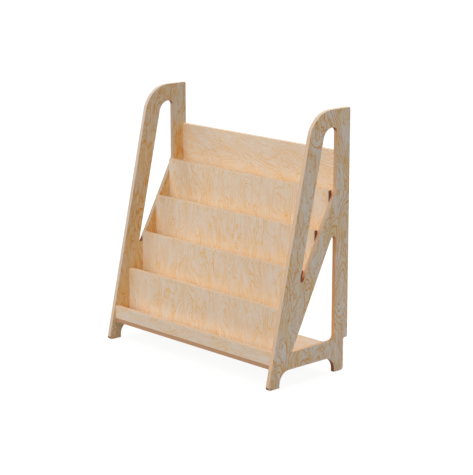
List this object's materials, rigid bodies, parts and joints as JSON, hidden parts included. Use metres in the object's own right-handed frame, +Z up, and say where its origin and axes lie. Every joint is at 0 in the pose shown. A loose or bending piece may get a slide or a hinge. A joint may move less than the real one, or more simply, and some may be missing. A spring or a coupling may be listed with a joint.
{
  "type": "tiered front-facing bookcase",
  "caption": "Low plywood bookcase with stepped pockets that show books face on, between routed A-shaped side panels with sloping fronts.",
  "frame": {"origin": "on the floor, under the middle of the bookcase's width and depth", "axes": "+Z up, +X to the right of someone who faces the pockets, front faces -Y"},
  "size_m": [0.664, 0.296, 0.718],
  "materials": {
    "birch_ply": "clear matt lacquer on birch plywood, edges left bare",
    "beech_dowel": "raw",
    "zinc_steel": "zinc plated"
  },
  "bodies": {
    "root": {"side_panel_left": "birch_ply", "side_panel_right": "birch_ply", "base_board": "birch_ply", "front_lip": "birch_ply", "divider_1": "birch_ply", "divider_2": "birch_ply", "divider_3": "birch_ply", "divider_4": "birch_ply", "pocket_floor_1": "birch_ply", "pocket_floor_2": "birch_ply", "pocket_floor_3": "birch_ply", "pocket_floor_4": "birch_ply", "back_panel": "birch_ply", "base_dowels": "beech_dowel", "lip_dowels": "beech_dowel", "divider_dowels": "beech_dowel", "floor_dowels": "beech_dowel", "back_panel_dowels": "beech_dowel", "step_dowels": "beech_dowel", "cam_bolts": "zinc_steel", "cam_locks": "zinc_steel", "edge_screws": "zinc_steel"}
  },
  "joints": []
}
